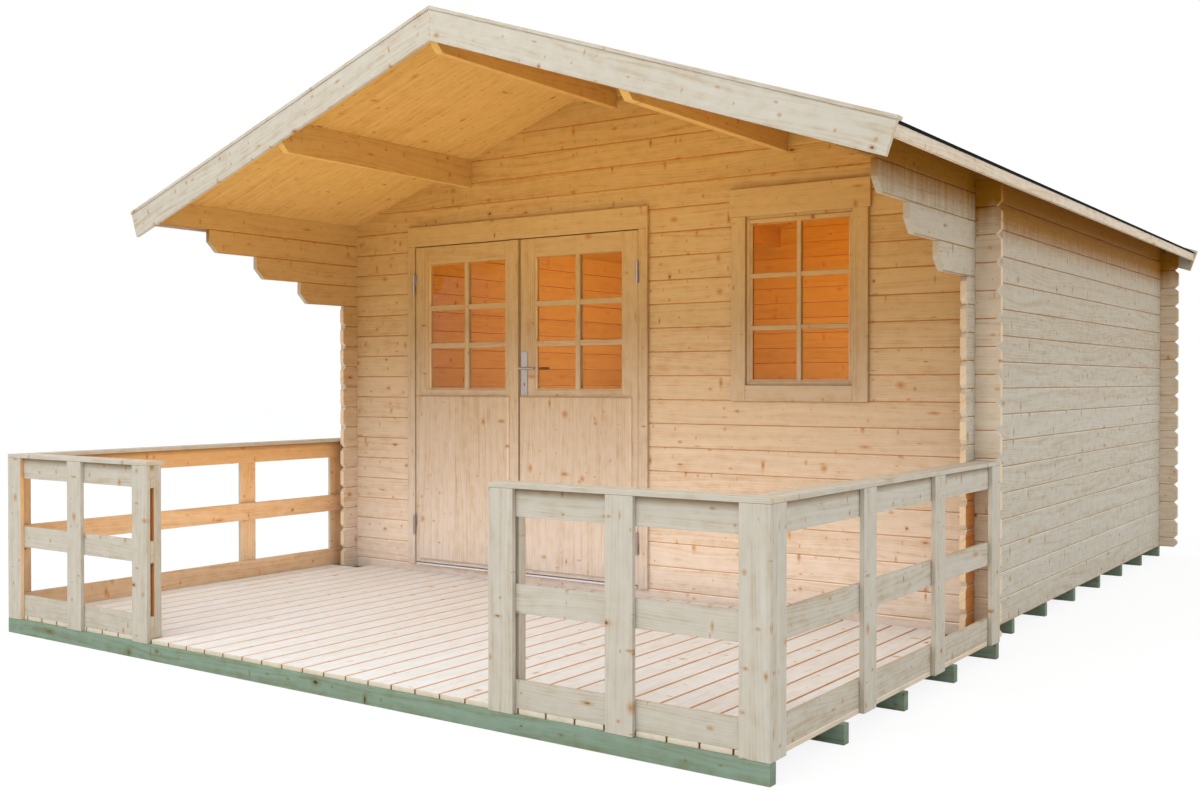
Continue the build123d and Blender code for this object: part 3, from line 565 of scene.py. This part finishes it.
def cut(bm, place, normal):
    """A flat cut through the faces, so that each side of it can stand in its own light."""
    geometry = list(bm.verts) + list(bm.edges) + list(bm.faces)
    bmesh.ops.bisect_plane(bm, geom=geometry, dist=0.00001, plane_co=place, plane_no=normal)


def dressed(node, material=spruce, body="cabin", bevel=0.0016, ending="_wood"):
    """The node's own solids, with soft arrises and grain laid along each of them."""
    bm = copied(node)
    if node in ALONG_FRONT:
        for side in (-1, 1):
            cut(bm, (side * (INNER_X + HALF_WIDTH) / 2, 0, 0), (1, 0, 0))
    if node in ALONG_SIDE:
        for place in ((WALL_Y + INNER_Y) / 2, REAR_Y - (INNER_Y - WALL_Y) / 2):
            cut(bm, (0, place, 0), (0, 1, 0))
    return finish_mesh(node + ending, bm, material, body, [node], bevel)


def block(bm, low, high):
    """One plain board between two corners."""
    low, high = Vector(low), Vector(high)
    made = bmesh.ops.create_cube(bm, size=1.0)
    middle = (low + high) / 2
    size = high - low
    for vert in made["verts"]:
        vert.co = Vector((vert.co.x * size.x, vert.co.y * size.y, vert.co.z * size.z)) + middle
    return made["verts"]


def prism(bm, outline, front, back):
    """A closed body with the given outline in X and Z, from front to back."""
    first = [bm.verts.new((x, front, z)) for x, z in outline]
    last = [bm.verts.new((x, back, z)) for x, z in outline]
    bm.faces.new(first)
    bm.faces.new(list(reversed(last)))
    for index in range(len(outline)):
        after = (index + 1) % len(outline)
        bm.faces.new((first[index], last[index], last[after], first[after]))


def boards_piece(name, corners, material=spruce, body="cabin", replaced=(), bevel=0.0016):
    bm = bmesh.new()
    for low, high in corners:
        block(bm, low, high)
    return finish_mesh(name, bm, material, body, list(replaced), bevel)


ALONG_FRONT = {
    "front_wall_sill", "front_wall_left", "front_wall_right", "front_wall_top", "rear_wall", "front_gable",
    "rear_gable",
}
ALONG_SIDE = {"left_wall", "right_wall", "left_eaves_logs", "right_eaves_logs", "purlins"}
for node in (
    "front_wall_sill", "front_wall_left", "front_wall_right", "front_wall_top", "rear_wall", "front_gable",
    "rear_gable", "left_wall", "right_wall", "left_eaves_logs", "right_eaves_logs", "purlins", "bargeboards",
    "barge_laths", "eaves_fascias", "front_left_railing", "front_right_railing", "left_railing", "right_railing",
    "railing_caps",
):
    dressed(node)
for node in ("door_casing", "window_casing"):
    dressed(node, clear_spruce)
for node in ("terrace_joists", "cabin_joists"):
    dressed(node, treated)

# Deck: boards from front to back with open joints
deck_low, deck_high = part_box("deck")
DECK_PITCH = 0.1168
DECK_GAP = 0.007
DECK_EDGE = 0.0025
deck_count = round((deck_high.x - deck_low.x) / DECK_PITCH)
deck_pitch = (deck_high.x - deck_low.x + DECK_GAP) / deck_count
notch_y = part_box("left_wall")[0].y - 0.0003
bm = bmesh.new()
for number in range(deck_count):
    left = deck_low.x + number * deck_pitch
    right = left + deck_pitch - DECK_GAP
    near_log = left < HALF_WIDTH + 0.002 and right > INNER_X - 0.002 or right > -HALF_WIDTH - 0.002 and left < -INNER_X + 0.002
    back = notch_y if near_log else deck_high.y
    shoulder = deck_high.z - DECK_EDGE
    outline = (
        (left, deck_low.z), (right, deck_low.z), (right, shoulder), (right - DECK_EDGE, deck_high.z),
        (left + DECK_EDGE, deck_high.z), (left, shoulder),
    )
    prism(bm, outline, deck_low.y, back)
bmesh.ops.recalc_face_normals(bm, faces=bm.faces)
finish_mesh("deck_boards", bm, deck_spruce, "cabin", ["deck"], 0.0008)

# Cabin floor: tongued boards across the room
floor_low, floor_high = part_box("cabin_floor")
FLOOR_PITCH = 0.0958
floor_count = round((floor_high.x - floor_low.x) / FLOOR_PITCH)
floor_pitch = (floor_high.x - floor_low.x) / floor_count
floor_boards = []
for number in range(floor_count):
    left = floor_low.x + number * floor_pitch + 0.0004
    floor_boards.append(((left, floor_low.y, floor_low.z), (left + floor_pitch - 0.0008, floor_high.y, floor_high.z)))
boards_piece("floor_boards", floor_boards, spruce, replaced=["cabin_floor"])

# Roof boards: tongued boards from the ridge to the eaves
ROOF_PITCH = 0.0958


def roof_outline(side):
    """Section of a roof slope, from the ridge to the eaves."""
    edge = RIDGE_TOP - ROOF_SLOPE * EAVES_X
    corners = ((0.0002, RIDGE_TOP), (EAVES_X, edge), (EAVES_X, edge - ROOF_RISE), (0.0002, SOFFIT_TOP))
    return [(side * x, z) for x, z in corners]


for side_name, side in (("left", -1), ("right", 1)):
    roof_low, roof_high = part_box(side_name + "_roof_boards")
    roof_count = round((roof_high.y - roof_low.y) / ROOF_PITCH)
    roof_pitch = (roof_high.y - roof_low.y) / roof_count
    bm = bmesh.new()
    for number in range(roof_count):
        front = roof_low.y + number * roof_pitch + 0.0003
        prism(bm, roof_outline(side), front, front + roof_pitch - 0.0006)
    bmesh.ops.recalc_face_normals(bm, faces=bm.faces)
    finish_mesh(side_name + "_roof_planks", bm, spruce, "cabin", [side_name + "_roof_boards"], 0.0022)

# Frames of doors and windows: uprights and cross rails
def frame_boards(low, high, left, right, bottom, top):
    """Two uprights with the cross rails between them."""
    boards = [
        ((low.x, low.y, low.z), (low.x + left, high.y, high.z)),
        ((high.x - right, low.y, low.z), (high.x, high.y, high.z)),
        ((low.x + left + 0.0002, low.y, high.z - top), (high.x - right - 0.0002, high.y, high.z)),
    ]
    if bottom:
        boards.append(((low.x + left + 0.0002, low.y, low.z), (high.x - right - 0.0002, high.y, low.z + bottom)))
    return boards


def cut_in_strips(node, cuts):
    """The CAD solids cut at the given places in X into strips that touch."""
    whole = copied(node)
    low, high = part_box(node)
    bm = bmesh.new()
    for left, right in zip(cuts, cuts[1:]):
        strip = whole.copy()
        for place, side in ((left, -1), (right, 1)):
            if low.x < place < high.x:
                geometry = list(strip.verts) + list(strip.edges) + list(strip.faces)
                cut_place = (place, 0, 0)
                bmesh.ops.bisect_plane(strip, geom=geometry, plane_co=cut_place, plane_no=(side, 0, 0), clear_outer=True)
                open_edges = [edge for edge in strip.edges if edge.is_boundary]
                bmesh.ops.holes_fill(strip, edges=open_edges, sides=0)
        part = bpy.data.meshes.new("strip")
        strip.to_mesh(part)
        strip.free()
        bm.from_mesh(part)
        bpy.data.meshes.remove(part)
    whole.free()
    bmesh.ops.recalc_face_normals(bm, faces=bm.faces)
    return bm


JAMB_AND_STOP = 0.043
WINDOW_JAMB_AND_STOP = 0.038
for node, upright in (("door_frame", JAMB_AND_STOP), ("window_frame", WINDOW_JAMB_AND_STOP)):
    frame_low, frame_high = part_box(node)
    cuts = (frame_low.x, frame_low.x + upright, frame_high.x - upright, frame_high.x)
    finish_mesh(node + "_boards", cut_in_strips(node, cuts), clear_spruce, "cabin", [node], 0.0012)

sash_low, sash_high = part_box("window_sash")
SASH_BAR = 0.018
window_glass_low, window_glass_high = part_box("window_glass")
sash = frame_boards(sash_low, sash_high, SASH_BAR, SASH_BAR, SASH_BAR, SASH_BAR)
boards_piece("window_sash_boards", sash, clear_spruce, replaced=["window_sash"])


def glazing_bars(name, low, high, faces, width, rows, body):
    """Bars that divide a light into two columns, before and behind the glass."""
    bars = []
    middle = (low.x + high.x) / 2
    for face_front, face_back in faces:
        bars.append(((middle - width / 2, face_front, low.z), (middle + width / 2, face_back, high.z)))
        for level in rows:
            for left, right in ((low.x, middle - width / 2), (middle + width / 2, high.x)):
                start = (left, face_front + 0.0007, level - width / 2)
                bars.append((start, (right, face_back - 0.0007, level + width / 2)))
    return boards_piece(name, bars, clear_spruce, body, bevel=0.003)


def mitred_ring(bm, low, high, profile):
    """A moulding round a rectangle, with mitred corners. The profile is a list of inset and Y."""
    corners = ((low.x, low.z, 1, 1), (high.x, low.z, -1, 1), (high.x, high.z, -1, -1), (low.x, high.z, 1, -1))
    for number in range(4):
        x, z, inward_x, inward_z = corners[number]
        next_x, next_z, next_inward_x, next_inward_z = corners[(number + 1) % 4]
        first = [bm.verts.new((x + inward_x * inset, y, z + inward_z * inset)) for inset, y in profile]
        last = [bm.verts.new((next_x + next_inward_x * inset, y, next_z + next_inward_z * inset)) for inset, y in profile]
        bm.faces.new(first)
        bm.faces.new(list(reversed(last)))
        for index in range(len(profile)):
            after = (index + 1) % len(profile)
            bm.faces.new((first[index], last[index], last[after], first[after]))


def glazing_bead(name, low, high, front, glass_front, body):
    """A thin bead that holds the pane from the front."""
    seat = glass_front - 0.0002
    profile = ((0.0002, seat), (0.009, seat), (0.009, seat - 0.003), (0.002, front + 0.003), (0.0002, front + 0.003))
    bm = bmesh.new()
    mitred_ring(bm, low, high, profile)
    bmesh.ops.recalc_face_normals(bm, faces=bm.faces)
    return finish_mesh(name, bm, clear_spruce, body, [], 0.0008)


BAR_FRONT = 0.003
BAR_BACK = 0.006
PANE = 0.004
window_low = Vector((sash_low.x + SASH_BAR, sash_low.y, sash_low.z + SASH_BAR))
window_high = Vector((sash_high.x - SASH_BAR, sash_high.y, sash_high.z - SASH_BAR))
window_pane = window_glass_low.y
bar_faces = (
    (sash_low.y + BAR_FRONT, window_pane - 0.0002),
    (window_pane + PANE + 0.0005, sash_high.y - BAR_BACK),
)
glazing_bars("window_bars", window_low, window_high, bar_faces, 0.023, (1.447, 1.699), "cabin")
glazing_bead("window_bead", window_low, window_high, sash_low.y, window_pane, "cabin")

# Door leaves
STILE = 0.099
TOP_RAIL = 0.100
GLASS_SILL = 1.143
BOTTOM_RAIL = 0.160
MIDDLE_RAIL = 0.100
STAVE = 0.088


def staves(node, body, pitch):
    """A board glued up from upright staves."""
    low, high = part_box(node)
    count = max(1, round((high.x - low.x) / pitch))
    cuts = [low.x + (high.x - low.x) * number / count for number in range(count + 1)]
    return finish_mesh(node + "_staves", cut_in_strips(node, cuts), clear_spruce, body, [node], 0.0012)


for side_name, body in (("left", "left_door"), ("right", "right_door")):
    leaf_low, leaf_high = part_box(side_name + "_leaf")
    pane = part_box(side_name + "_leaf_glass")[0].y
    inner_left = leaf_low.x + STILE + 0.0002
    inner_right = leaf_high.x - STILE - 0.0002
    boards = frame_boards(leaf_low, leaf_high, STILE, STILE, BOTTOM_RAIL, TOP_RAIL)
    boards.append(((inner_left, leaf_low.y, GLASS_SILL - MIDDLE_RAIL), (inner_right, leaf_high.y, GLASS_SILL)))
    field_low = (inner_left, leaf_low.y + 0.002, leaf_low.z + BOTTOM_RAIL)
    boards.append((field_low, (inner_right, leaf_high.y - 0.012, GLASS_SILL - MIDDLE_RAIL)))
    boards_piece(side_name + "_leaf_boards", boards, clear_spruce, body, [side_name + "_leaf"])
    light_low = Vector((leaf_low.x + STILE, 0, GLASS_SILL))
    light_high = Vector((leaf_high.x - STILE, 0, leaf_high.z - TOP_RAIL))
    bar_faces = (
        (leaf_low.y + BAR_FRONT, pane - 0.0002),
        (pane + PANE + 0.0005, leaf_high.y - BAR_BACK),
    )
    glazing_bars(side_name + "_leaf_bars", light_low, light_high, bar_faces, 0.030, (1.3955, 1.6125), body)
    glazing_bead(side_name + "_leaf_bead", light_low, light_high, leaf_low.y, pane, body)
    staves(side_name + "_leaf_panel", body, STAVE)


def use(node, material):
    """Gives a CAD node its material."""
    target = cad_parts[node]
    for entry in target.material_slots:
        entry.material = material
    if not target.material_slots:
        target.data.materials.append(material)


for node in ("window_glass", "left_leaf_glass", "right_leaf_glass"):
    use(node, glass)
for node, body in (
    ("frame_hinges", "cabin"), ("left_leaf_hinges", "left_door"), ("right_leaf_hinges", "right_door"),
    ("handle_plates", "right_door"), ("lever_handle", "handle"),
):
    dressed(node, steel, body, 0.0009, "_steel")
use("door_threshold", aluminium)
use("roof_felt", felt)


def disc(bm, centre, radius, height, axis):
    """A round head with a soft rim, standing on the given place."""
    turned = Vector((0, 0, 1)).rotation_difference(Vector(axis)).to_matrix()
    rings = []
    for level, size in ((0.0, radius), (height * 0.6, radius), (height, radius * 0.8)):
        ring = []
        for number in range(20):
            angle = 2 * math.pi * number / 20
            place = Vector((size * math.cos(angle), size * math.sin(angle), level))
            ring.append(bm.verts.new(Vector(centre) + turned @ place))
        rings.append(ring)
    for lower, upper in zip(rings, rings[1:]):
        for number in range(20):
            after = (number + 1) % 20
            bm.faces.new((lower[number], lower[after], upper[after], upper[number]))
    bm.faces.new(list(reversed(rings[0])))
    bm.faces.new(rings[-1])


# Screws and keyhole of the handle plates
plate_low, plate_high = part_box("handle_plates")
plate_x = (plate_low.x + plate_high.x) / 2
SCREW_INSET = 0.011
SCREW_RADIUS = 0.0038
KEYHOLE_DOWN = 0.085
lever_z = (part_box("lever_handle")[0].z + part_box("lever_handle")[1].z) / 2
screws = bmesh.new()
keyholes = bmesh.new()
for face_y, facing in ((plate_low.y, -1), (plate_high.y, 1)):
    for level in (plate_low.z + SCREW_INSET, plate_high.z - SCREW_INSET):
        disc(screws, (plate_x, face_y, level), SCREW_RADIUS, 0.0009, (0, facing, 0))
    disc(keyholes, (plate_x, face_y, lever_z - KEYHOLE_DOWN), 0.0045, 0.0003, (0, facing, 0))
    slot_low = (plate_x - 0.0016, face_y - 0.0003, lever_z - KEYHOLE_DOWN - 0.013)
    block(keyholes, slot_low, (plate_x + 0.0016, face_y + 0.0003, lever_z - KEYHOLE_DOWN))
finish_mesh("plate_screws", screws, steel, "right_door", [], 0.0)
finish_mesh("plate_keyholes", keyholes, dark_steel, "right_door", [], 0.0)

# Felt: laps of the sheets along the slope and the nails that hold them
LAP_RISE = 0.0022
LAP_WIDTH = 0.004
NAIL_PITCH = 0.12
NAIL_RADIUS = 0.0045
felt_low, felt_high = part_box("roof_felt")
slope_normal = Vector((ROOF_SLOPE, 0, 1)).normalized()
laps = bmesh.new()
nails = bmesh.new()
for side in (-1, 1):
    for share in (0.02, 0.36, 0.70):
        x = felt_high.x * (1 - share)
        along_slope = [(x, -0.001), (x - 0.9 * LAP_WIDTH, LAP_RISE), (x - 0.10, LAP_RISE * 0.3), (x - 0.10, -0.001)]
        outline = [(side * place, felt_high.z - ROOF_SLOPE * place + rise) for place, rise in along_slope]
        if share > 0.02:
            prism(laps, outline, felt_low.y + 0.001, felt_high.y - 0.001)
        nail_x = x - 0.03
        top = felt_high.z - ROOF_SLOPE * nail_x + (0.0018 if share > 0.02 else 0.0)
        for number in range(int((felt_high.y - felt_low.y) / NAIL_PITCH)):
            place = (side * nail_x, felt_low.y + 0.05 + number * NAIL_PITCH, top)
            disc(nails, place, NAIL_RADIUS, 0.0009, (side * slope_normal.x, 0, slope_normal.z))
bmesh.ops.recalc_face_normals(laps, faces=laps.faces)
finish_mesh("felt_laps", laps, felt, "cabin", [], 0.0)
finish_mesh("felt_nails", nails, steel, "cabin", [], 0.0)

# Stage, light and camera
floor_mesh = bpy.data.meshes.new("floor")
floor_mesh.from_pydata([(-60, -60, 0), (60, -60, 0), (60, 60, 0), (-60, 60, 0)], [], [(0, 1, 2, 3)])
floor = bpy.data.objects.new("floor", floor_mesh)
bpy.context.scene.collection.objects.link(floor)
floor_material, floor_tree = new_material("floor")
g = Graph(floor_tree)
matt = g.node("ShaderNodeBsdfDiffuse")
matt.inputs["Color"].default_value = rgb(0.82, 0.82, 0.82)
white = g.node("ShaderNodeEmission")
white.inputs["Color"].default_value = grey(1.0)
white.inputs["Strength"].default_value = 0.78
seen = g.node("ShaderNodeMixShader")
paths = g.node("ShaderNodeLightPath")
lit = g.math("MAXIMUM", g.math("MAXIMUM", paths.outputs["Is Camera Ray"], paths.outputs["Is Glossy Ray"]), paths.outputs["Is Transmission Ray"])
g.feed(seen.inputs[0], g.math("MULTIPLY", lit, 0.8))
g.feed(seen.inputs[1], matt.outputs[0])
g.feed(seen.inputs[2], white.outputs[0])
white.inputs["Strength"].default_value = 1.08
g.feed(g.node("ShaderNodeOutputMaterial").inputs["Surface"], seen.outputs[0])
floor_mesh.materials.append(floor_material)

world = bpy.data.worlds.new("world")
bpy.context.scene.world = world
world.use_nodes = True
world.node_tree.nodes.clear()
g = Graph(world.node_tree)
sky = g.node("ShaderNodeBackground")
sky.inputs["Color"].default_value = rgb(0.97, 0.985, 1.0)
sky.inputs["Strength"].default_value = 0.82
plain = g.node("ShaderNodeBackground")
plain.inputs["Color"].default_value = grey(1.0)
plain.inputs["Strength"].default_value = 1.0
choose = g.node("ShaderNodeMixShader")
paths = g.node("ShaderNodeLightPath")
seen_direct = g.math("MAXIMUM", g.math("MAXIMUM", paths.outputs["Is Camera Ray"], paths.outputs["Is Glossy Ray"]), paths.outputs["Is Transmission Ray"])
g.feed(choose.inputs[0], seen_direct)
g.feed(choose.inputs[1], sky.outputs[0])
g.feed(choose.inputs[2], plain.outputs[0])
g.feed(g.node("ShaderNodeOutputWorld").inputs["Surface"], choose.outputs[0])


def area_light(name, place, target, size, power, color=(1, 1, 1)):
    data = bpy.data.lights.new(name, "AREA")
    data.shape = "RECTANGLE"
    data.size, data.size_y = size
    data.energy = power
    data.color = color
    lamp = bpy.data.objects.new(name, data)
    bpy.context.scene.collection.objects.link(lamp)
    lamp.location = place
    lamp.rotation_euler = (Vector(target) - Vector(place)).to_track_quat("-Z", "Y").to_euler()
    lamp.visible_camera = False
    lamp.visible_glossy = False
    return lamp


area_light("key", (-1.0, -9.8, 6.0), (0, -1.0, 1.0), (6, 6), 166)
area_light("overhead", (0.0, -5.2, 6.5), (0, -2.4, 0.0), (5, 3), 114)
area_light("deck_bounce", (0.0, -1.9, 0.14), (0, -1.7, 3.0), (3.4, 1.5), 20, (1.0, 0.86, 0.68))
for side in (-1, 1):
    area_light("side_light", (side * 10.5, 1.0, 5.5), (0, 0.5, 1.0), (6, 6), 150)
room_data = bpy.data.lights.new("room_light", "POINT")
room_data.energy = 82
room_data.shadow_soft_size = 0.4
room_data.color = (1.0, 0.93, 0.85)
room_light = bpy.data.objects.new("room_light", room_data)
bpy.context.scene.collection.objects.link(room_light)
room_light.location = (-0.1, 1.1, 1.4)
room_light.visible_camera = False
room_light.visible_glossy = False

camera_data = bpy.data.cameras.new("camera")
camera_data.sensor_fit = "HORIZONTAL"
camera_data.sensor_width = 36
camera_data.lens = 37.986
camera = bpy.data.objects.new("camera", camera_data)
bpy.context.scene.collection.objects.link(camera)
camera.location = (3.72607, -6.36803, 1.18533)
camera.rotation_euler = (math.radians(89.403), 0, math.radians(34.972))
bpy.context.scene.camera = camera
bpy.context.scene.cycles.max_bounces = 4
bpy.context.scene.cycles.use_light_tree = False
world.cycles.sampling_method = "NONE"
bpy.context.scene.cycles.diffuse_bounces = 2
bpy.context.scene.cycles.glossy_bounces = 2
bpy.context.scene.view_settings.view_transform = "Standard"
